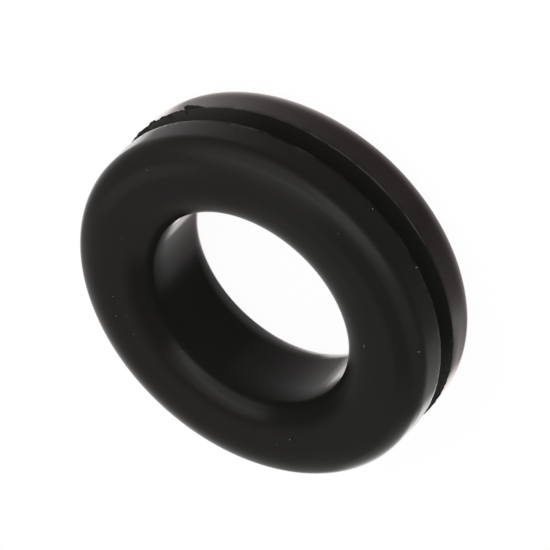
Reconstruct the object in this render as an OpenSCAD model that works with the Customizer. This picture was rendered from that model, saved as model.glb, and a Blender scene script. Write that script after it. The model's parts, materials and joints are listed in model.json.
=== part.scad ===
// Rubber grommet: one soft ring with a domed flange on each side of a panel groove.
// The bore runs along Z. The origin is on the bore axis, in the middle of the groove.
// Both flanges are alike, so the part goes into the panel either way round.

/* [Ring] */
// Outer diameter of the flanges
outer_d = 28.6; // [28:0.1:30]
// Overall height, from crest to crest
height = 9.3; // [9:0.1:10.5]

/* [Bore] */
// Diameter of the straight hole that the cable passes through
bore_d = 16.3; // [15:0.1:17]
// Radius of the lip between the bore and the domed face
lip_r = 1.5; // [1:0.1:2]

/* [Domed face] */
// Diameter of the circle where each face is highest
crest_d = 22.4; // [21.8:0.1:22.6]
// Radius of the dome's crown, seen in section
crown_r = 4.5; // [4.2:0.1:6]
// Radius of the shoulder between the crown and the side of the flange
shoulder_r = 1.6; // [1:0.1:2]

/* [Groove] */
// Width of the groove, a little over the thickness of the panel
groove_w = 1.65; // [0.8:0.05:2]
// Diameter of the groove's floor, which is the hole in the panel
groove_d = 22.2; // [20:0.1:26]

/* [Hidden] */
rubber = [0.13, 0.13, 0.13];

// Facets to a turn, for the arcs of the section and for the ring itself
arc_steps = 128;
ring_steps = 180;

// The small arcs stand this much proud of the crown, so that the arcs cross cleanly
proud = 0.001;

// The core reaches this far up into the arcs, so that they join as one
overlap = 0.1;

outer_r = outer_d / 2;
bore_r = bore_d / 2;

// Centres of the three arcs of a flange, as [radius, height].
// The shoulder meets the flange's side and the crown. The lip meets the bore and the crown.
crown_c = [crest_d / 2, height / 2 - crown_r];
shoulder_c = inner_arc_centre(outer_r - shoulder_r, shoulder_r);
lip_c = inner_arc_centre(bore_r + lip_r, lip_r);

// Directions, seen from the crown's centre, in which the crown hands over to its neighbours
shoulder_a = direction(crown_c, shoulder_c);
lip_a = direction(crown_c, lip_c);

// How far, in degrees, each small arc runs on underneath the crown
run_on = 20;

// Unit vector at an angle
function unit(a) = [cos(a), sin(a)];

// Angle of the line from one point to another
function direction(from, to) = atan2(to.y - from.y, to.x - from.x);

// Centre of a small arc at radius x that lies inside the crown's arc and meets it smoothly
function inner_arc_centre(x, r) =
    [x, crown_c.y + sqrt(pow(crown_r + proud - r, 2) - pow(x - crown_c.x, 2))];

// Pie slice of a circle, between two angles less than 120 degrees apart
module sector(centre, r, from, to) {
    reach = 3 * r;
    intersection() {
        translate(centre) circle(r = r, $fn = arc_steps);
        polygon([centre, centre + reach * unit(from), centre + reach * unit(to)]);
    }
}

// The three arcs of the upper flange: shoulder, crown and lip
module flange_arcs() {
    sector(shoulder_c, shoulder_r, 0, shoulder_a + run_on);
    sector(crown_c, crown_r, shoulder_a, lip_a);
    sector(lip_c, lip_r, lip_a - run_on, 180);
}

// The straight-edged middle of the upper half, which joins the centres of the arcs
module flange_core() {
    up = [0, overlap];
    polygon([
        [bore_r, 0],
        [outer_r, 0],
        [outer_r, shoulder_c.y],
        shoulder_c + up,
        crown_c + up,
        lip_c + up,
        [bore_r, lip_c.y]
    ]);
}

// What the panel takes up: a slot from the groove's floor out past the flanges
module groove_slot() {
    floor_r = groove_d / 2;
    translate([floor_r, -groove_w / 2]) square([outer_r - floor_r + 1, groove_w]);
}

// Half section of the ring, on the right of the axis
module ring_section() {
    difference() {
        for (flip = [0, 1]) mirror([0, flip]) {
            flange_core();
            flange_arcs();
        }
        groove_slot();
    }
}

// The whole ring, turned about the bore axis
module grommet() {
    color(rubber) rotate_extrude($fn = ring_steps) ring_section();
}

grommet();
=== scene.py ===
import json
import math
import random
from typing import NamedTuple

import bpy
from mathutils import Matrix, Vector


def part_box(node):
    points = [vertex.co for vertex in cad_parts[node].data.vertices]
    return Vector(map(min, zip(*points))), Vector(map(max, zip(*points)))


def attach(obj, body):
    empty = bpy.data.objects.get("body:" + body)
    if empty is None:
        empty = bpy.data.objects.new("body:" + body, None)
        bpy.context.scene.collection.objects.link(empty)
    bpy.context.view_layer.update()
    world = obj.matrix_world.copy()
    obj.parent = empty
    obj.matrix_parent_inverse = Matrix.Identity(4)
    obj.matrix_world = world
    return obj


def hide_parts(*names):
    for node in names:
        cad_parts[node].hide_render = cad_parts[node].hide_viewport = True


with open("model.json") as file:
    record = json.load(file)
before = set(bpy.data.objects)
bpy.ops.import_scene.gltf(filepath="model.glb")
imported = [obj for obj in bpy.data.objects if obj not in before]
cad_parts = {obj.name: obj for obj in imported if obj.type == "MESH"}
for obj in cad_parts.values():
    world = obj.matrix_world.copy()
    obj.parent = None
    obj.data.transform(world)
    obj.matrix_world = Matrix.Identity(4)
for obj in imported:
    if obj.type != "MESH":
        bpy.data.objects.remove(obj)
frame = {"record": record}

bl_info = {
    "name": "Rubber grommet",
    "version": (1, 0, 0),
    "blender": (4, 5, 0),
    "location": "3D View > Sidebar > Grommet",
    "description": "Builds a moulded rubber grommet with its flash, dust and studio",
    "category": "Add Mesh",
}

MM = 0.001
NODE = "grommet"
BODY = "root"

# The frame gives the ring's size. Its mesh is a few microns under the true size,
# so the box is rounded to a tenth of a millimetre.
BOX_LOW, BOX_HIGH = (Vector(corner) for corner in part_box(NODE))
OUTER_R = round(BOX_HIGH.x, 4)
HALF_HEIGHT = round(BOX_HIGH.z - BOX_LOW.z, 4) / 2
MOUNTS = {mount["name"]: mount for mount in frame["record"]["mounts"]}
BORE_R = MOUNTS["cable_hole"]["dims"]["r_mm"] * MM


class RingSizes(bpy.types.PropertyGroup):
    """Sizes of the moulded ring's section"""

    outer_r: bpy.props.FloatProperty(
        name="Outer radius", description="From the bore axis to the flange's side",
        default=OUTER_R, min=0.01, unit="LENGTH")
    half_height: bpy.props.FloatProperty(
        name="Half height", description="From the middle of the groove to a crest",
        default=HALF_HEIGHT, min=0.003, unit="LENGTH")
    bore_r: bpy.props.FloatProperty(
        name="Bore radius", description="Radius of the straight hole for the cable",
        default=BORE_R, min=0.004, unit="LENGTH")
    crest_r: bpy.props.FloatProperty(
        name="Crest radius", description="Radius of the circle where a face is highest",
        default=11.2 * MM, min=0.008, unit="LENGTH")
    crown_r: bpy.props.FloatProperty(
        name="Crown", description="Radius of the dome's crown in section",
        default=4.5 * MM, min=0.0035, unit="LENGTH")
    shoulder_r: bpy.props.FloatProperty(
        name="Shoulder", description="Radius between the crown and the flange's side",
        default=1.6 * MM, min=0.0005, unit="LENGTH")
    lip_r: bpy.props.FloatProperty(
        name="Lip", description="Radius between the bore and the crown",
        default=1.5 * MM, min=0.0005, unit="LENGTH")
    groove_w: bpy.props.FloatProperty(
        name="Groove width", description="Width of the slot that takes the panel",
        default=1.65 * MM, min=0.0005, unit="LENGTH")
    groove_r: bpy.props.FloatProperty(
        name="Groove floor radius", description="Radius of the panel's hole",
        default=11.1 * MM, min=0.008, unit="LENGTH")
    edge_r: bpy.props.FloatProperty(
        name="Groove edge", description="Small radius that the mould leaves on the groove's edges",
        default=0.05 * MM, min=0.0, unit="LENGTH")
    fillet_r: bpy.props.FloatProperty(
        name="Groove fillet", description="Radius in the two corners of the groove's floor",
        default=0.25 * MM, min=0.0, unit="LENGTH")
    steps_round: bpy.props.IntProperty(
        name="Steps round", description="Number of segments in one turn of the ring",
        default=640, min=48)


class RubberFinish(bpy.types.PropertyGroup):
    """Colours and grain of the rubber"""

    black: bpy.props.FloatVectorProperty(
        name="Rubber black", description="Main colour of the moulded rubber",
        subtype="COLOR", size=4, min=0.0, max=1.0, default=(0.0030, 0.0029, 0.0027, 1.0))
    bloom_and_painted_glare: bpy.props.FloatVectorProperty(
        name="Bloom", description="Slightly greyer patches where the rubber has bloomed",
        subtype="COLOR", size=4, min=0.0, max=1.0, default=(0.0046, 0.0045, 0.0041, 1.0))
    # a pale grey for the torn flash and the dust in the groove, and also for a painted highlight
    # along the groove's back edge
    pale_grey_and_highlight: bpy.props.FloatVectorProperty(
        name="Rubbed", description="Colour of the rubbed edge and of the torn flash",
        subtype="COLOR", size=4, min=0.0, max=1.0, default=(0.13, 0.128, 0.12, 1.0))
    dust: bpy.props.FloatVectorProperty(
        name="Dust", description="Colour of the specks of dust",
        subtype="COLOR", size=4, min=0.0, max=1.0, default=(0.24, 0.24, 0.235, 1.0))
    grain: bpy.props.FloatProperty(
        name="Grain", description="Height of the mould's fine grain",
        default=0.004 * MM, min=0.0, precision=6, unit="LENGTH")
    fine_specks: bpy.props.IntProperty(
        name="Fine specks", description="Number of fine specks of dust beside the larger ones",
        default=90, min=0)


class StudioSetup(bpy.types.PropertyGroup):
    """The camera's place and its lens"""

    distance: bpy.props.FloatProperty(
        name="Camera distance", description="From the grommet's centre to the lens",
        default=316 * MM, min=0.05, unit="LENGTH")
    elevation: bpy.props.FloatProperty(
        name="Elevation", description="Height of the camera above the grommet's face",
        default=math.radians(41.47), subtype="ANGLE", unit="ROTATION")
    roll: bpy.props.FloatProperty(
        name="Roll", description="Turn of the camera about its line of sight",
        default=math.radians(-136.87), subtype="ANGLE", unit="ROTATION")
    lens: bpy.props.FloatProperty(
        name="Lens", description="Focal length in millimetres on a 36 mm sensor",
        default=289.3, min=10.0)


# ---------------------------------------------------------------- section of the ring

def arc(centre, radius, start, end, steps):
    """Points on an arc of the section, as (radius, height), with both ends"""
    turn = (end - start) / steps
    return [(centre[0] + radius * math.cos(start + turn * i),
             centre[1] + radius * math.sin(start + turn * i)) for i in range(steps + 1)]


def straight(start, end, steps):
    """Points between two corners of the section, without the ends"""
    return [(start[0] + (end[0] - start[0]) * i / steps,
             start[1] + (end[1] - start[1]) * i / steps) for i in range(1, steps)]


def upper_section(sizes):
    """Half of the section from the bore up over the flange and down into the groove"""
    crown = (sizes.crest_r, sizes.half_height - sizes.crown_r)

    def arc_under_crown(x, radius):
        """The centre of a smaller arc that meets the crown smoothly, and the angle where it does"""
        rise = math.sqrt((sizes.crown_r - radius) ** 2 - (x - crown[0]) ** 2)
        centre = (x, crown[1] + rise)
        return centre, math.atan2(rise, x - crown[0])

    lip, lip_a = arc_under_crown(sizes.bore_r + sizes.lip_r, sizes.lip_r)
    shoulder, shoulder_a = arc_under_crown(sizes.outer_r - sizes.shoulder_r, sizes.shoulder_r)
    half_w = sizes.groove_w / 2
    edge = (sizes.outer_r - sizes.edge_r, half_w + sizes.edge_r)
    fillet = (sizes.groove_r + sizes.fillet_r, half_w - sizes.fillet_r)
    quarter = math.pi / 2

    points = straight((sizes.bore_r, 0), (sizes.bore_r, lip[1]), steps=6)
    points += arc(lip, sizes.lip_r, math.pi, lip_a, steps=14)
    points += arc(crown, sizes.crown_r, lip_a, shoulder_a, steps=22)[1:]
    points += arc(shoulder, sizes.shoulder_r, shoulder_a, 0, steps=14)[1:]
    points += straight(points[-1], (sizes.outer_r, edge[1]), steps=5)
    points += arc(edge, sizes.edge_r, 0, -quarter, steps=4)
    points += straight(points[-1], (fillet[0], half_w), steps=7)
    points += arc(fillet, sizes.fillet_r, quarter, 2 * quarter, steps=3)
    return points


def ring_section(sizes):
    """The whole section as one closed loop, as (radius, height)"""
    upper = upper_section(sizes)
    floor_mid = [(sizes.groove_r, 0)]
    lower = [(x, -z) for x, z in reversed(upper)]
    return [(sizes.bore_r, 0)] + upper + floor_mid + lower


# ---------------------------------------------------------------- node helpers

class Nodes:
    """Adds nodes to a tree one at a time, and links or sets what goes into each"""

    def __init__(self, tree):
        self.tree = tree

    def node(self, kind, inputs=None, **settings):
        made = self.tree.nodes.new(kind)
        for key, value in settings.items():
            setattr(made, key, value)
        for key, value in (inputs or {}).items():
            self.feed(made.inputs[key], value)
        return made

    def feed(self, socket, value):
        """Links a socket to another one, or sets it to a plain value"""
        if isinstance(value, bpy.types.NodeSocket):
            self.tree.links.new(value, socket)
        else:
            socket.default_value = value

    def math(self, operation, a, b=0.0, c=0.0, **settings):
        return self.node("ShaderNodeMath", {0: a, 1: b, 2: c}, operation=operation,
                         **settings).outputs[0]

    def times(self, *factors):
        value = factors[0]
        for other in factors[1:]:
            value = self.math("MULTIPLY", value, other)
        return value

    def vector(self, operation, a, **inputs):
        return self.node("ShaderNodeVectorMath", {0: a, **inputs}, operation=operation)

    def point(self, x, y, z):
        return self.node("ShaderNodeCombineXYZ", {0: x, 1: y, 2: z}).outputs[0]

    def parts(self, point):
        """The x, y and z of a point"""
        return self.node("ShaderNodeSeparateXYZ", {0: point}).outputs

    def blend(self, share, a, b, kind="RGBA"):
        """a where the share is 0, and b where it is 1"""
        return self.node("ShaderNodeMix", {"Factor": share, "A": a, "B": b},
                         data_type=kind).outputs["Result"]

    def over(self, share, shader, other):
        """Another shader mixed over the first one"""
        return self.node("ShaderNodeMixShader", {0: share, 1: shader, 2: other}).outputs[0]


class Tree(Nodes):
    """A geometry node tree with named inputs"""

    def __init__(self, name):
        super().__init__(bpy.data.node_groups.new(name, "GeometryNodeTree"))
        self.tree.is_modifier = True
        self.add_socket("Geometry", "NodeSocketGeometry", "INPUT")
        self.add_socket("Geometry", "NodeSocketGeometry", "OUTPUT")
        self.start = self.tree.nodes.new("NodeGroupInput")
        self.end = self.tree.nodes.new("NodeGroupOutput")

    def add_socket(self, name, kind, way, default=None):
        item = self.tree.interface.new_socket(name, in_out=way, socket_type=kind)
        if default is not None:
            item.default_value = default

    def number(self, name, default):
        self.add_socket(name, "NodeSocketFloat", "INPUT", default)
        return self.start.outputs[name]

    def whole(self, name, default):
        self.add_socket(name, "NodeSocketInt", "INPUT", default)
        return self.start.outputs[name]

    def material(self, name):
        self.add_socket(name, "NodeSocketMaterial", "INPUT")
        return self.start.outputs[name]

    def grid(self, steps, corners):
        """A grid with a row of points for each step along a path, where a row goes once round
        the corners of a section. Gives the grid, and the step and the corner of each point"""
        row_length = self.math("ADD", corners, 1.0)
        grid = self.node("GeometryNodeMeshGrid", {
            "Size X": 1.0, "Size Y": 1.0, "Vertices X": self.math("ADD", steps, 1.0),
            "Vertices Y": row_length})
        index = self.node("GeometryNodeInputIndex").outputs[0]
        step = self.math("FLOOR", self.math("DIVIDE", self.math("ADD", index, 0.5), row_length))
        place_in_row = self.math("SUBTRACT", index, self.times(step, row_length))
        corner = self.math("FLOORED_MODULO", place_in_row, corners)
        return grid.outputs[0], step, corner

    def turned(self, grid, radius, angle, height):
        """Moves a grid's points to their places about the bore's axis, joins its seams and
        turns its faces outward"""
        place = self.point(self.times(radius, self.math("COSINE", angle)),
                           self.times(radius, self.math("SINE", angle)), height)
        moved = self.node("GeometryNodeSetPosition", {"Geometry": grid, "Position": place})
        merged = self.node("GeometryNodeMergeByDistance", {"Geometry": moved.outputs[0],
                                                           "Distance": 0.001 * MM})
        return self.node("GeometryNodeFlipFaces", {"Mesh": merged.outputs[0]}).outputs[0]

    def finish(self, geometry, material):
        """Every tree ends with real meshes that carry their material"""
        real = self.node("GeometryNodeRealizeInstances", {0: geometry})
        painted = self.node("GeometryNodeSetMaterial", {"Geometry": real.outputs[0],
                                                        "Material": material})
        self.tree.links.new(painted.outputs[0], self.end.inputs[0])
        return self.tree


def start_object(name, points):
    """An object of loose points, for a tree to start from"""
    mesh = bpy.data.meshes.new(name)
    mesh.from_pydata(points, [], [])
    obj = bpy.data.objects.new(name, mesh)
    bpy.context.scene.collection.objects.link(obj)
    return obj


def run_tree(obj, tree, values):
    """Runs a tree on an object and leaves the result as a plain mesh"""
    modifier = obj.modifiers.new(tree.name, "NODES")
    modifier.node_group = tree
    keys = {item.name: item.identifier for item in tree.interface.items_tree
            if item.item_type == "SOCKET" and item.in_out == "INPUT"}
    for name, value in values.items():
        modifier[keys[name]] = value
    bpy.context.view_layer.update()
    evaluated = obj.evaluated_get(bpy.context.evaluated_depsgraph_get())
    mesh = bpy.data.meshes.new_from_object(evaluated)
    if not mesh.polygons:
        raise RuntimeError(f"{tree.name} made no faces")
    mesh.name = obj.name
    # the start mesh leaves an empty slot ahead of the tree's own material
    used = [material for material in mesh.materials if material]
    mesh.materials.clear()
    mesh.materials.append(used[0])
    mesh.polygons.foreach_set("material_index", [0] * len(mesh.polygons))
    obj.modifiers.clear()
    obj.data = mesh


# ---------------------------------------------------------------- shapes

def turned_ring_tree():
    """Turns a section about the bore axis, and gives it mould waviness and nicked groove edges"""
    wave_scale, nick_scale = 260.0, 1700.0
    # the nicks fade out this far in from the flange's side, and this far off the groove
    side_reach, slot_reach = 0.3 * MM, 0.25 * MM
    # noise above this level cuts into the edge, and noise below it stands a little proud
    nick_level = 0.55

    t = Tree("Turned ring")
    count = t.whole("Section points", 4)
    steps = t.whole("Steps round", 48)
    wave = t.number("Waviness", 0.0)
    nicks = t.number("Edge nicks", 0.0)
    outer = t.number("Outer radius", 0.0143)
    half_slot = t.number("Half slot", 0.0008)
    seed = t.number("Seed", 0.0)
    material = t.material("Material")
    place = t.node("GeometryNodeInputPosition").outputs[0]
    normal = t.node("GeometryNodeInputNormal").outputs[0]

    def noise(scale, detail):
        return t.node("ShaderNodeTexNoise", {"Vector": place, "W": seed, "Scale": scale,
                                             "Detail": detail}, noise_dimensions="4D").outputs[0]

    def push(geometry, height):
        """Moves a surface out along its normals"""
        offset = t.vector("SCALE", normal, Scale=height).outputs[0]
        return t.node("GeometryNodeSetPosition", {"Geometry": geometry,
                                                  "Offset": offset}).outputs[0]

    grid, step, corner = t.grid(steps, count)
    section_point = t.node("GeometryNodeSampleIndex", {
        "Geometry": t.start.outputs["Geometry"], "Value": place, "Index": corner},
        data_type="FLOAT_VECTOR", domain="POINT")
    radius, _, height = t.parts(section_point.outputs[0])
    ring = t.turned(grid, radius, t.times(t.math("DIVIDE", step, steps), math.tau), height)
    wavy = push(ring, t.times(t.math("SUBTRACT", 0.5, noise(wave_scale, 1.0)), wave))

    x, y, z = t.parts(place)
    out = t.vector("LENGTH", t.point(x, y, 0.0)).outputs["Value"]
    near_side = t.node("ShaderNodeMapRange", {
        "Value": out, "From Min": t.math("SUBTRACT", outer, side_reach), "From Max": outer})
    near_slot = t.node("ShaderNodeMapRange", {
        "Value": t.math("ABSOLUTE", z), "From Min": t.math("ADD", half_slot, slot_reach),
        "From Max": half_slot})
    on_edge = t.times(near_side.outputs[0], near_slot.outputs[0])
    nick = t.times(t.math("SUBTRACT", nick_level, noise(nick_scale, 3.0)), nicks)
    nicked = push(wavy, t.times(on_edge, nick))
    smooth = t.node("GeometryNodeSetShadeSmooth", {"Geometry": nicked, "Shade Smooth": True})
    return t.finish(smooth.outputs[0], material)


def torn_flash_tree():
    """A thin ragged fin of rubber along the back edge of the groove, torn off unevenly"""
    # the fin's root lies this deep in the flange, and a tear leaves this share of its reach
    root_depth, least_share = 0.22 * MM, 0.02
    tear_scale, tear_strength = 30.0, 4.0

    t = Tree("Torn flash")
    steps = t.whole("Steps", 40)
    start = t.number("Start angle", 0.0)
    turn = t.number("Turn", 0.1)
    edge = t.number("Edge radius", 0.0143)
    level = t.number("Edge height", -0.0008)
    reach = t.number("Reach", 0.0003)
    ragged = t.number("Raggedness", 0.5)
    fade_in = t.number("Fade in", 0.2)
    fade_out = t.number("Fade out", 0.2)
    thick = t.number("Thickness", 0.00006)
    seed = t.number("Seed", 0.0)
    material = t.material("Material")

    grid, step, corner = t.grid(steps, corners=4)
    along = t.math("DIVIDE", step, steps)
    angle = t.math("ADD", start, t.times(turn, along))

    # how far the torn edge stands out: uneven, and fading towards both ends
    rise = t.math("MINIMUM", t.math("DIVIDE", along, fade_in), 1.0)
    fall = t.math("MINIMUM", t.math("DIVIDE", t.math("SUBTRACT", 1.0, along), fade_out), 1.0)
    tear = t.node("ShaderNodeTexNoise", {"W": t.math("ADD", angle, seed), "Scale": tear_scale,
                                         "Detail": 5.0, "Roughness": 0.65},
                  noise_dimensions="1D")
    uneven = t.times(t.math("SUBTRACT", tear.outputs[0], 0.5), ragged, tear_strength)
    share = t.math("MAXIMUM", t.math("ADD", 1.0, uneven), least_share)
    out = t.times(reach, share, rise, fall)

    # both ends close to a point at the root, so only the steps between them have any size
    is_inner = t.times(t.math("GREATER_THAN", step, 0.5),
                       t.math("LESS_THAN", step, t.math("SUBTRACT", steps, 0.5)))
    # corners 1 and 2 are the torn edge, and corners 2 and 3 are the underside
    is_tip = t.times(t.math("GREATER_THAN", corner, 0.5), t.math("LESS_THAN", corner, 2.5))
    is_low = t.math("GREATER_THAN", corner, 1.5)
    root = t.math("SUBTRACT", edge, root_depth)
    radius = t.math("ADD", root, t.times(t.math("ADD", root_depth, out), is_tip, is_inner))
    height = t.math("SUBTRACT", level, t.times(thick, is_low, is_inner))
    fin = t.turned(grid, radius, angle, height)
    flat = t.node("GeometryNodeSetShadeSmooth", {"Geometry": fin, "Shade Smooth": False})
    return t.finish(flat.outputs[0], material)


def dust_tree():
    """A small rounded speck on each spot, turned and shaped in its own way, or a hair of lint"""
    # a speck's length, width and height lie between these, as multiples of its size
    smallest, largest = (0.5, 0.5, 0.5), (1.6, 1.1, 0.9)
    no_turn, full_turn = (0.0, 0.0, 0.0), (math.tau, math.tau, math.tau)

    t = Tree("Dust specks")
    size = t.number("Speck size", 0.00005)
    seed = t.whole("Seed", 0)
    material = t.material("Material")
    speck = t.node("GeometryNodeMeshIcoSphere", {"Radius": 0.5, "Subdivisions": 1})

    def chance(low, high, own_seed):
        return t.node("FunctionNodeRandomValue", {"Min": low, "Max": high, "Seed": own_seed},
                      data_type="FLOAT_VECTOR").outputs[0]

    def spot(name, kind="FLOAT"):
        return t.node("GeometryNodeInputNamedAttribute", {"Name": name}, data_type=kind).outputs[0]

    is_hair = t.math("GREATER_THAN", spot("length"), 0.0)
    turn = t.blend(is_hair, chance(no_turn, full_turn, seed), spot("lie", "FLOAT_VECTOR"),
                   "VECTOR")
    shape = t.blend(is_hair, chance(smallest, largest, t.math("ADD", seed, 1.0)),
                    t.point(spot("length"), 1.0, 1.0), "VECTOR")
    scale = t.vector("SCALE", shape, Scale=t.times(size, spot("weight")))
    spread = t.node("GeometryNodeInstanceOnPoints", {
        "Points": t.start.outputs["Geometry"], "Instance": speck.outputs[0], "Rotation": turn,
        "Scale": scale.outputs[0]})
    return t.finish(spread.outputs[0], material)


# ---------------------------------------------------------------- materials

WHITE = (1.0, 1.0, 1.0, 1.0)


class Paint(Nodes):
    """A material with a Principled shader, and the few steps that its patterns are made of"""

    def __init__(self, name):
        self.material = bpy.data.materials.new(name)
        self.material.use_nodes = True
        super().__init__(self.material.node_tree)
        self.base = self.tree.nodes["Principled BSDF"]

    def place(self):
        return self.node("ShaderNodeTexCoord").outputs["Object"]

    def noise(self, scale, detail, roughness=0.5):
        return self.node("ShaderNodeTexNoise", {
            "Vector": self.place(), "Scale": scale, "Detail": detail,
            "Roughness": roughness}).outputs["Fac"]

    def scaled(self, value, start, end, low, high):
        """Runs evenly from low to high while the value goes from start to end"""
        return self.node("ShaderNodeMapRange", {"Value": value, "From Min": start, "From Max": end,
                                                "To Min": low, "To Max": high}).outputs[0]

    def ramp(self, value, start, full):
        """Runs softly from 0 to 1 while the value goes from start to full"""
        return self.node("ShaderNodeMapRange", {
            "Value": value, "From Min": start, "From Max": full},
            interpolation_type="SMOOTHSTEP").outputs[0]

    def band(self, length, start, full):
        """The same for a length, with its ends in mm"""
        return self.ramp(length, start * MM, full * MM)

    def less(self, patch, amount=1.0):
        """1 outside a patch, and less by this amount inside it"""
        return self.math("MULTIPLY_ADD", patch, -amount, 1.0)

    def more(self, patch, amount):
        """1 outside a patch, and more by this amount inside it"""
        return self.math("MULTIPLY_ADD", patch, amount, 1.0)

    def bump(self, height, strength, distance):
        return self.node("ShaderNodeBump", {"Height": height, "Strength": strength,
                                            "Distance": distance}).outputs[0]

    def set_base(self, values):
        """Sets or links sockets of the Principled shader"""
        for name, value in values.items():
            self.feed(self.base.inputs[name], value)

    def surface(self, shader):
        self.tree.links.new(shader, self.tree.nodes["Material Output"].inputs["Surface"])


class RingPaint(Paint):
    """A paint that knows where on the ring it is.
    x, y and up are the place and out is the radius, in metres, and around is the direction
    from the bore's axis. face, bore and back are soft-edged parts of the ring: the front face,
    the wall of the bore, and the half behind the groove."""

    def __init__(self, name):
        super().__init__(name)
        self.x, self.y, self.up = self.parts(self.place())
        flat = self.point(self.x, self.y, 0.0)
        self.out = self.vector("LENGTH", flat).outputs["Value"]
        self.around = self.vector("NORMALIZE", flat).outputs[0]
        self.face = self.band(self.up, 2.7, 3.5)
        self.bore = self.band(self.out, 9.0, 8.4)
        self.back = self.band(self.up, 0.0, -1.0)

    def towards(self, degrees):
        """1 on the side of the ring that points this way from the axis, and -1 opposite"""
        turn = math.radians(degrees)
        way = (math.cos(turn), math.sin(turn), 0.0)
        dot = self.node("ShaderNodeVectorMath", {0: self.around, 1: way},
                        operation="DOT_PRODUCT")
        return dot.outputs["Value"]

    def patch(self, side=None, out=(), up=(), inside=(), outside=()):
        """A soft-edged part of the ring, 1 inside it and 0 outside.
        side is the way that it faces, in degrees, and the values of towards() where it starts
        and is full. out and up are the bands of radius and height that it fills, in mm. inside
        and outside are other patches, which it lies in and keeps off."""
        shares = [self.band(self.out, *ends) for ends in out]
        shares += [self.band(self.up, *ends) for ends in up]
        if side:
            degrees, start, full = side
            shares.append(self.ramp(self.towards(degrees), start, full))
        return self.times(*shares, *inside, *(self.less(other) for other in outside))

    def by_zone(self, side, face, bore, back):
        """One value for the front flange's side, and others for the face, the bore and the back"""
        value = side
        for share, other in ((self.back, back), (self.bore, bore), (self.face, face)):
            value = self.blend(share, value, other, "FLOAT")
        return value


def skin_colour(paint, finish):
    """Black rubber with greyer bloom, dust settled in the groove, and a painted highlight along one
    edge
    """
    bloomed = paint.blend(paint.noise(210.0, 4.0, 0.55), finish.black, finish.bloom_and_painted_glare)

    # a film of fine dust lies in the groove, most of it towards -Y and +Y
    dust = 0.012
    for side in (paint.patch((-95.0, 0.75, 0.98)), paint.patch((85.0, 0.6, 1.0))):
        dust = paint.math("MULTIPLY_ADD", side, 0.2, dust)
    in_groove = paint.band(paint.math("ABSOLUTE", paint.up), 0.86, 0.82)
    film = paint.times(dust, in_groove, paint.less(paint.bore))
    filmed = paint.blend(film, bloomed, finish.pale_grey_and_highlight)

    # a highlight is painted along the groove's back edge on the +X side, paler in uneven patches
    fray = paint.scaled(paint.noise(700.0, 4.0), 0.36, 0.7, 0.02, 0.25)
    back_edge = paint.patch(out=[(14.2, 14.26)], up=[(-0.96, -0.90), (-0.80, -0.86)])
    pale_grey_and_highlight = paint.times(fray, back_edge, paint.band(paint.x, 12.6, 13.6))
    return paint.blend(pale_grey_and_highlight, filmed, finish.pale_grey_and_highlight)


def painted_glow_colour(paint, dull_lip):
    """The colour of a faint glow painted over the whole rubber, which lifts its black: grey, and
    mauve on the back flange and a little towards +Y
    """
    grey, mauve = (0.56, 0.55, 0.52, 1.0), (0.82, 0.52, 0.51, 1.0)
    in_front = paint.times(paint.patch((120.0, -0.9, 1.0)), 0.65, paint.less(dull_lip, 0.6))
    back_flange = paint.band(paint.up, -0.84, -0.90)
    share = paint.blend(back_flange, in_front, 1.0, "FLOAT")
    return paint.blend(paint.times(share, paint.less(paint.bore)), grey, mauve)


def edge_on_gloss(paint, facing):
    """The gloss that shows only at a flat angle, most of all in the bore, whose pin was polished"""
    sides = paint.times(paint.ramp(facing, 0.76, 0.89),
                        paint.by_zone(side=0.48, face=0.0, bore=0.0, back=0.54))
    # the pin's polish shows a little earlier towards +Y
    slant = paint.math("MULTIPLY_ADD", paint.towards(90.0), 0.015, facing)
    pin = paint.times(paint.bore, paint.ramp(slant, 0.72, 0.79),
                      paint.less(paint.band(paint.up, 0.3, 2.2)))
    pin_level = paint.math("MULTIPLY_ADD", paint.ramp(slant, 0.85, 0.89), 0.5, 0.36)
    return paint.math("MULTIPLY_ADD", pin, pin_level, sides)


def glancing_gloss(paint, facing, nicks):
    """The gloss that grows with the angle, over parts that the mould and wear left uneven"""
    patch, less, more = paint.patch, paint.less, paint.more
    back_rim = patch(up=[(-2.2, -3.1)], outside=[paint.bore])
    dull_wall = patch((165.0, 0.83, 0.94), inside=[paint.bore])
    dull_side = patch((-30.0, 0.92, 0.985), out=[(12.5, 13.5)], outside=[paint.face, back_rim])
    dull_strip = patch((-80.0, 0.85, 0.98), up=[(-1.9, -1.1)], inside=[paint.back],
                       outside=[paint.bore])
    dull_rim = patch((-68.0, 0.93, 0.99), inside=[back_rim])
    bright_rim = patch((60.0, 0.5, 0.9), inside=[back_rim])
    polished_edge = patch((-93.0, 0.92, 0.99), out=[(13.0, 13.6)], inside=[paint.face])
    bore_corner = patch((-112.0, 0.93, 0.985), up=[(-2.5, -3.0)], inside=[paint.bore])
    strength = paint.times(
        paint.by_zone(side=0.333, face=0.05, bore=0.34, back=0.52), less(dull_wall, 0.85),
        less(dull_side, 0.5), less(dull_strip, 0.6), less(dull_rim, 0.35), less(nicks),
        more(bright_rim, 1.0), more(polished_edge, 22.0), more(bore_corner, 4.0))
    steep = paint.math("POWER", facing, paint.by_zone(side=3.9, face=5.2, bore=3.4, back=3.06))
    return paint.math("MULTIPLY_ADD", steep, strength, edge_on_gloss(paint, facing))


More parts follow.
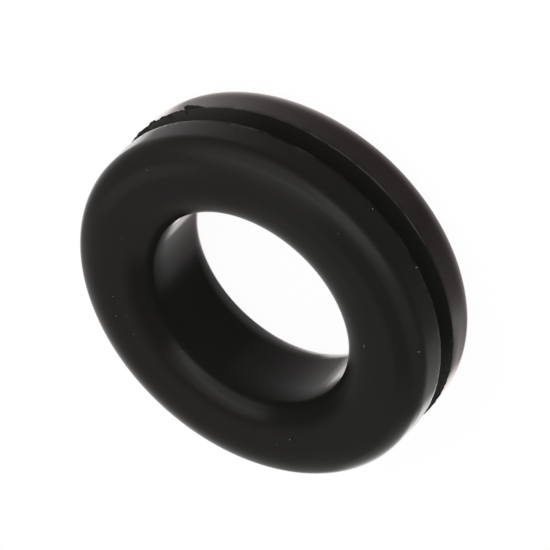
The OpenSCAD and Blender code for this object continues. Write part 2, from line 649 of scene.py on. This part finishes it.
def gloss_share(paint, facing, dull_lip):
    """How much of the light is mirrored: a little face on, and much at a glancing angle"""
    patch, less, more = paint.patch, paint.less, paint.more
    # the groove's front edge is nicked on the +X side
    chipped = paint.ramp(paint.noise(620.0, 3.0), 0.48, 0.54)
    nicks = patch((5.0, 0.6, 0.9), out=[(13.5, 14.0)], up=[(1.18, 0.95), (0.78, 0.82)],
                  inside=[chipped])
    dull_streak = patch((-30.0, 0.75, 0.95), out=[(12.3, 12.9), (13.9, 13.4)])
    bright_streak = patch((72.0, 0.85, 0.98), out=[(11.8, 12.3), (13.1, 12.7)])
    bright_slope = patch((0.0, 0.8, 0.97), out=[(9.4, 10.2), (11.8, 11.0)])
    face_on = paint.times(
        paint.by_zone(side=0.0018, face=0.0095, bore=0.0008, back=0.0005), less(dull_lip, 0.85),
        less(dull_streak, 0.5), more(bright_streak, 0.6), more(bright_slope, 0.4), less(nicks))

    # both ends of the bore are duller at a glancing angle
    near_end = patch(up=[(0.8, 3.1)], inside=[paint.bore])
    far_lip = patch(out=[(9.6, 9.2)], up=[(-3.3, -3.9)])
    return paint.math("MULTIPLY_ADD", glancing_gloss(paint, facing, nicks),
                      paint.times(less(near_end, 0.72), less(far_lip, 0.35)), face_on)


def painted_glare_share(paint, facing):
    """Where a pale sheen is painted over the rubber: the face as it turns away, and the ends of the
    bore
    """
    patch, times, less, more = paint.patch, paint.times, paint.less, paint.more
    # a white sheen is painted over the face as it turns away, but not over the lip towards -X, and
    # more of it towards -Y
    lip_without_glare = times(patch(out=[(9.6, 9.0)]), paint.band(paint.x, 5.6, 3.2))
    face = times(paint.by_zone(side=0.0, face=1.3, bore=0.0, back=0.0), less(lip_without_glare),
                 more(patch((-98.0, 0.85, 0.95)), 0.5))

    # a pale glow is painted on the bore's far end all round, more so off the -X side and more so
    # towards -Y
    off_side = patch((180.0, 0.97, 0.6), up=[(-2.9, -3.25), (-3.75, -3.4)])
    low_side = patch((-125.0, 0.85, 0.98), up=[(-2.9, -3.25)])
    far_end = times(patch(up=[(-2.3, -3.4)], inside=[paint.bore]), more(off_side, 2.5),
                    more(low_side, 1.5))

    # its wall towards -Y has a painted highlight that moves with the angle of view, and a soft
    # painted fan of light
    slope = paint.math("MULTIPLY_ADD", paint.up, -0.035 / MM, facing)
    wall = times(patch(up=[(1.5, 0.3)], inside=[paint.bore]), paint.ramp(slope, 0.74, 0.88),
                 paint.band(paint.y, -2.0, -4.0))
    fan = patch((-98.0, 0.955, 0.995), up=[(1.6, -0.5)], inside=[paint.bore])
    bore = paint.math("MULTIPLY_ADD", wall, 0.35,
                      paint.math("MULTIPLY_ADD", fan, 0.26, times(far_end, 0.075)))
    return paint.math("MULTIPLY_ADD", paint.math("POWER", facing, 7.5), face, bore, use_clamp=True)


def moulded_rubber(finish):
    """Satin black rubber: fine mould grain, faint bloom, an uneven polish, a faint painted glow,
    and a painted pale sheen at glancing angles and in the bore
    """
    paint = RingPaint("Moulded rubber")
    grain = paint.bump(paint.noise(9000.0, 2.0), 0.25, finish.grain)
    facing = paint.node("ShaderNodeLayerWeight", {"Blend": 0.5, "Normal": grain}).outputs["Facing"]

    # the lip is dull on the side towards -X, but for one stretch with a worn shine
    shine = paint.patch((-165.0, 0.8, 0.95), out=[(9.5, 9.0)])
    dull_lip = paint.patch((-165.0, -0.1, 0.35), out=[(10.2, 8.9)], outside=[shine])
    # the emission is a faint glow painted over the whole ring, which lifts its black
    paint.set_base({"Base Color": skin_colour(paint, finish), "Normal": grain,
                    "Roughness": 0.6, "Specular IOR Level": 0.0,
                    "Emission Color": painted_glow_colour(paint, dull_lip), "Emission Strength": 0.008})

    cool, warm = (1.0, 0.985, 0.975, 1.0), (1.0, 0.91, 0.905, 1.0)
    blotches = paint.scaled(paint.noise(420.0, 3.0), 0.3, 0.7, -0.02, 0.02)
    polish = paint.node("ShaderNodeBsdfGlossy", {
        "Color": paint.blend(paint.back, cool, warm), "Normal": grain,
        "Roughness": paint.math("ADD", paint.by_zone(side=0.15, face=0.32, bore=0.26, back=0.2),
                                blotches)})
    # a white diffuse layer, mixed over the rubber by the painted glare share: a painted pale sheen
    bloom_and_painted_glare = paint.node("ShaderNodeBsdfDiffuse", {"Color": (1.0, 0.985, 0.97, 1.0)})
    glossy = paint.over(gloss_share(paint, facing, dull_lip), paint.base.outputs[0],
                        polish.outputs[0])
    paint.surface(paint.over(painted_glare_share(paint, facing), glossy, bloom_and_painted_glare.outputs[0]))
    return paint.material


def torn_rubber(finish):
    """Dull rubber, rough and greyer where it was torn"""
    paint = Paint("Torn rubber")
    fray = paint.noise(2600.0, 4.0)
    greyer = paint.math("MULTIPLY", fray, 0.12)
    paint.set_base({"Base Color": paint.blend(greyer, finish.bloom_and_painted_glare, finish.pale_grey_and_highlight),
                    "Normal": paint.bump(fray, 0.6, 0.02 * MM), "Roughness": 0.7,
                    "Specular IOR Level": 0.2})
    return paint.material


def dry_dust(finish):
    """Pale grey dust, lighter and darker from speck to speck"""
    paint = Paint("Dry dust")
    dim = [value * 0.45 for value in finish.dust[:3]] + [1.0]
    paint.set_base({"Base Color": paint.blend(paint.noise(900.0, 2.0), finish.dust, dim),
                    "Roughness": 0.9, "Specular IOR Level": 0.1})
    return paint.material


def seen_directly(nodes):
    """1 for rays from the camera, mirrors and glass, and 0 for the rest"""
    path = nodes.node("ShaderNodeLightPath").outputs
    direct = nodes.math("MAXIMUM", path["Is Camera Ray"], path["Is Glossy Ray"])
    return nodes.math("MAXIMUM", direct, path["Is Transmission Ray"])


def studio_paper():
    """White paper floor, which glows to plain white where it is seen and keeps a faint shadow"""
    paint = Paint("Studio paper")
    paint.set_base({"Base Color": (0.7, 0.7, 0.7, 1.0), "Roughness": 0.9,
                    "Specular IOR Level": 0.0})
    glow = paint.node("ShaderNodeEmission", {"Color": WHITE, "Strength": 1.02})
    share = paint.math("MULTIPLY", seen_directly(paint), 0.94)
    paint.surface(paint.over(share, paint.base.outputs[0], glow.outputs[0]))
    return paint.material


# ---------------------------------------------------------------- operators

class GROMMET_OT_ring(bpy.types.Operator):
    """Turn the moulded ring from its section and give it the rubber finish"""
    bl_idname = "grommet.ring"
    bl_label = "Moulded ring"

    def execute(self, context):
        sizes = context.scene.grommet_ring
        section = ring_section(sizes)
        ring = start_object("moulded_ring", [(radius, 0, height) for radius, height in section])
        run_tree(ring, turned_ring_tree(), {
            "Section points": len(section), "Steps round": sizes.steps_round,
            "Waviness": 0.008 * MM, "Edge nicks": 0.14 * MM, "Outer radius": sizes.outer_r,
            "Half slot": sizes.groove_w / 2, "Seed": 4.0,
            "Material": moulded_rubber(context.scene.grommet_finish)})
        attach(ring, BODY)
        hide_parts(NODE)
        return {"FINISHED"}


class Flash(NamedTuple):
    """A run of flash left on the groove's back edge.
    start and end are in degrees from the +X side, and reach is in mm. fade_in and fade_out are
    the shares of the run that it takes to rise from nothing and to sink back to it."""
    name: str
    start: float
    end: float
    reach: float
    ragged: float
    fade_in: float
    fade_out: float


FLASH = (Flash("flash_tab", 56.0, 63.9, 0.33, 0.22, 0.55, 0.005),
         Flash("flash_burrs", 63.6, 77.0, 0.09, 0.7, 0.1, 0.1),
         Flash("flash_bump", 76.0, 80.0, 0.17, 0.5, 0.3, 0.25),
         Flash("flash_thin_end", 79.0, 90.5, 0.08, 0.8, 0.1, 0.4),
         Flash("flash_far_side", -91.0, -46.0, 0.07, 0.6, 0.3, 0.25))
FLASH_STEPS_PER_DEGREE = 10
# The flash lies just behind the edge, so that their surfaces don't coincide
FLASH_SET_BACK = 0.004 * MM


class GROMMET_OT_flash(bpy.types.Operator):
    """Leave the torn flash on the groove's back edge"""
    bl_idname = "grommet.flash"
    bl_label = "Torn flash"

    def execute(self, context):
        sizes = context.scene.grommet_ring
        rubber = torn_rubber(context.scene.grommet_finish)
        tree = torn_flash_tree()
        for number, run in enumerate(FLASH):
            fin = start_object(run.name, [(0, 0, 0)])
            turn = run.end - run.start
            run_tree(fin, tree, {
                "Steps": round(turn * FLASH_STEPS_PER_DEGREE),
                "Start angle": math.radians(run.start), "Turn": math.radians(turn),
                "Edge radius": sizes.outer_r,
                "Edge height": -sizes.groove_w / 2 - FLASH_SET_BACK,
                "Reach": run.reach * MM, "Raggedness": run.ragged, "Fade in": run.fade_in,
                "Fade out": run.fade_out, "Thickness": 0.06 * MM, "Seed": 3.0 + number,
                "Material": rubber})
            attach(fin, BODY)
        return {"FINISHED"}


class Spot(NamedTuple):
    """Where a speck or a hair lies, as an angle in degrees and a radius and a height in mm.
    weight is its width, as a multiple of a plain speck's. Only a hair has a length, as a
    multiple of its own width, and a pitch and a heading in degrees."""
    angle: float
    radius: float
    height: float
    weight: float
    length: float = 0.0
    pitch: float = 0.0
    heading: float = 0.0

    def place(self):
        turn = math.radians(self.angle)
        return (self.radius * MM * math.cos(turn), self.radius * MM * math.sin(turn),
                self.height * MM)

    def lie(self):
        return 0.0, math.radians(self.pitch), math.radians(self.heading)


# The specks that show up most. Fine ones are strewn all over the rubber
SPECKS = (Spot(68, 12.8, 4.37, 1.1), Spot(50, 13.6, 3.95, 0.9), Spot(103, 10.3, 4.56, 1.3),
          Spot(134, 10.8, 4.64, 1.1), Spot(143, 11.1, 4.65, 1.2), Spot(143, 10.2, 4.55, 0.9),
          Spot(152, 10.3, 4.57, 1.0), Spot(170, 8.3, 3.38, 1.2), Spot(21, 14.32, -0.94, 1.0),
          Spot(-6, 14.32, 1.16, 1.3), Spot(-4, 13.3, 4.17, 1.0), Spot(-62, 13.8, 3.77, 1.0),
          Spot(-124, 10.3, 4.57, 1.2), Spot(-131, 10.8, 4.64, 1.1))
LINT = (Spot(-27, 14.31, 0.95, 0.7, length=9, pitch=-57, heading=62),
        Spot(-49, 14.11, 3.4, 0.45, length=15, pitch=-52, heading=86),
        Spot(-47, 10.4, 4.58, 0.75, length=9, pitch=0, heading=32))
# No fine speck lies below this height, because the floor is just under it
LOWEST_SPECK = -4.4 * MM


def fine_specks(count, sizes):
    """Small specks at chance points of the ring's section and chance angles"""
    chance = random.Random(11)
    section = [(radius, height) for radius, height in ring_section(sizes)
               if height > LOWEST_SPECK]
    specks = []
    for _ in range(count):
        radius, height = chance.choice(section)
        angle = math.degrees(chance.uniform(0, math.tau))
        specks.append(Spot(angle, radius / MM, height / MM, chance.uniform(0.25, 0.6)))
    return specks


class GROMMET_OT_dust(bpy.types.Operator):
    """Let a little dust settle on the rubber"""
    bl_idname = "grommet.dust"
    bl_label = "Dust"

    def execute(self, context):
        finish = context.scene.grommet_finish
        spots = [*SPECKS, *fine_specks(finish.fine_specks, context.scene.grommet_ring), *LINT]
        dust = start_object("dust_specks", [spot.place() for spot in spots])
        attributes = dust.data.attributes
        weight = attributes.new("weight", "FLOAT", "POINT")
        weight.data.foreach_set("value", [spot.weight for spot in spots])
        length = attributes.new("length", "FLOAT", "POINT")
        length.data.foreach_set("value", [spot.length for spot in spots])
        lie = attributes.new("lie", "FLOAT_VECTOR", "POINT")
        lie.data.foreach_set("vector", [turn for spot in spots for turn in spot.lie()])
        run_tree(dust, dust_tree(), {"Speck size": 0.06 * MM, "Seed": 5,
                                     "Material": dry_dust(finish)})
        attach(dust, BODY)
        return {"FINISHED"}


def camera_axes(setup):
    """The camera's right, up and back directions"""
    back = Vector((math.cos(setup.elevation), 0.0, math.sin(setup.elevation)))
    level = Vector((0.0, 1.0, 0.0))
    upright = back.cross(level)
    right = level * math.cos(setup.roll) + upright * math.sin(setup.roll)
    return right, back.cross(right), back


def placed(axes, distance):
    """The matrix of a lamp or a camera with these axes, this far back along the last one"""
    place = Matrix(axes).transposed().to_4x4()
    place.translation = axes[2] * distance
    return place


class SoftBox(NamedTuple):
    """A flat soft light, turned by side and rise, in degrees, away from the camera's direction.
    Its sizes are in metres. level is its brightness, where 1 is that of a white background."""
    name: str
    side: float
    rise: float
    width: float
    height: float
    distance: float
    level: float


SOFT_BOXES = (SoftBox("Front silk", -8, 14, 2.0, 0.85, 0.55, 0.9),
              SoftBox("Front strip", -6, 0, 1.9, 0.14, 0.52, 1.6),
              SoftBox("Low card", 29, 24, 0.44, 0.24, 0.5, 1.9))
# The camera's shift, as a share of the view's width
SHIFT_X, SHIFT_Y = 0.0058, 0.0177
# The floor reaches this far from its middle, in metres
FLOOR_REACH = 3.0


class GROMMET_OT_studio(bpy.types.Operator):
    """Lay the floor, and set up the soft light and the camera"""
    bl_idname = "grommet.studio"
    bl_label = "Studio"

    def execute(self, context):
        scene = context.scene
        axes = camera_axes(scene.grommet_studio)
        self.floor(scene)
        self.soft_room(scene)
        for box in SOFT_BOXES:
            self.soft_box(scene, box, axes)
        self.camera(scene, axes)
        scene.view_settings.view_transform = "Standard"
        return {"FINISHED"}

    def floor(self, scene):
        mesh = bpy.data.meshes.new("floor")
        corners = ((-1, -1), (1, -1), (1, 1), (-1, 1))
        mesh.from_pydata([(x * FLOOR_REACH, y * FLOOR_REACH, BOX_LOW.z) for x, y in corners],
                         [], [(0, 1, 2, 3)])
        mesh.materials.append(studio_paper())
        floor = bpy.data.objects.new("floor", mesh)
        scene.collection.objects.link(floor)

    def soft_room(self, scene):
        """A world that is seen as plain white, and lights the ring a little less than that"""
        world = bpy.data.worlds.new("Soft room")
        world.use_nodes = True
        nodes = Nodes(world.node_tree)
        room = nodes.tree.nodes["Background"]
        nodes.feed(room.inputs["Color"], WHITE)
        nodes.feed(room.inputs["Strength"], 0.7)
        white = nodes.node("ShaderNodeBackground", {"Color": WHITE, "Strength": 1.0})
        shown = nodes.over(seen_directly(nodes), room.outputs[0], white.outputs[0])
        nodes.feed(nodes.tree.nodes["World Output"].inputs["Surface"], shown)
        scene.world = world

    def soft_box(self, scene, box, axes):
        right, up, back = axes
        towards = (back + right * math.tan(math.radians(box.side))
                   + up * math.tan(math.radians(box.rise))).normalized()
        across = up.cross(towards).normalized()
        data = bpy.data.lights.new(box.name, "AREA")
        data.shape = "RECTANGLE"
        data.size = box.width
        data.size_y = box.height
        data.energy = box.level * math.pi * box.width * box.height
        light = bpy.data.objects.new(box.name, data)
        light.matrix_world = placed((across, towards.cross(across), towards), box.distance)
        scene.collection.objects.link(light)

    def camera(self, scene, axes):
        setup = scene.grommet_studio
        data = bpy.data.cameras.new("Camera")
        data.sensor_width = 36.0
        data.lens = setup.lens
        data.clip_start = 0.01
        data.shift_x = SHIFT_X
        data.shift_y = SHIFT_Y
        camera = bpy.data.objects.new("Camera", data)
        camera.matrix_world = placed(axes, setup.distance)
        scene.collection.objects.link(camera)
        scene.camera = camera


class GROMMET_PT_panel(bpy.types.Panel):
    """Lists the grommet's pieces and sizes"""
    bl_label = "Rubber grommet"
    bl_idname = "GROMMET_PT_panel"
    bl_space_type = "VIEW_3D"
    bl_region_type = "UI"
    bl_category = "Grommet"

    def draw(self, context):
        layout = self.layout
        for operator in OPERATORS:
            layout.operator(operator.bl_idname)
        for group in GROUPS:
            settings = getattr(context.scene, group)
            box = layout.box()
            for key in settings.bl_rna.properties.keys():
                if key not in {"rna_type", "name"}:
                    box.prop(settings, key)


GROUPS = {"grommet_ring": RingSizes, "grommet_finish": RubberFinish, "grommet_studio": StudioSetup}
OPERATORS = (GROMMET_OT_ring, GROMMET_OT_flash, GROMMET_OT_dust, GROMMET_OT_studio)


def register():
    for group in GROUPS.values():
        bpy.utils.register_class(group)
    for name, group in GROUPS.items():
        setattr(bpy.types.Scene, name, bpy.props.PointerProperty(type=group))
    for operator in OPERATORS:
        bpy.utils.register_class(operator)
    bpy.utils.register_class(GROMMET_PT_panel)


def unregister():
    bpy.utils.unregister_class(GROMMET_PT_panel)
    for operator in reversed(OPERATORS):
        bpy.utils.unregister_class(operator)
    for name, group in reversed(GROUPS.items()):
        delattr(bpy.types.Scene, name)
        bpy.utils.unregister_class(group)


def main():
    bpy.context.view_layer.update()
    register()
    bpy.ops.grommet.ring()
    bpy.ops.grommet.flash()
    bpy.ops.grommet.dust()
    bpy.ops.grommet.studio()


if __name__ == "__main__":
    main()
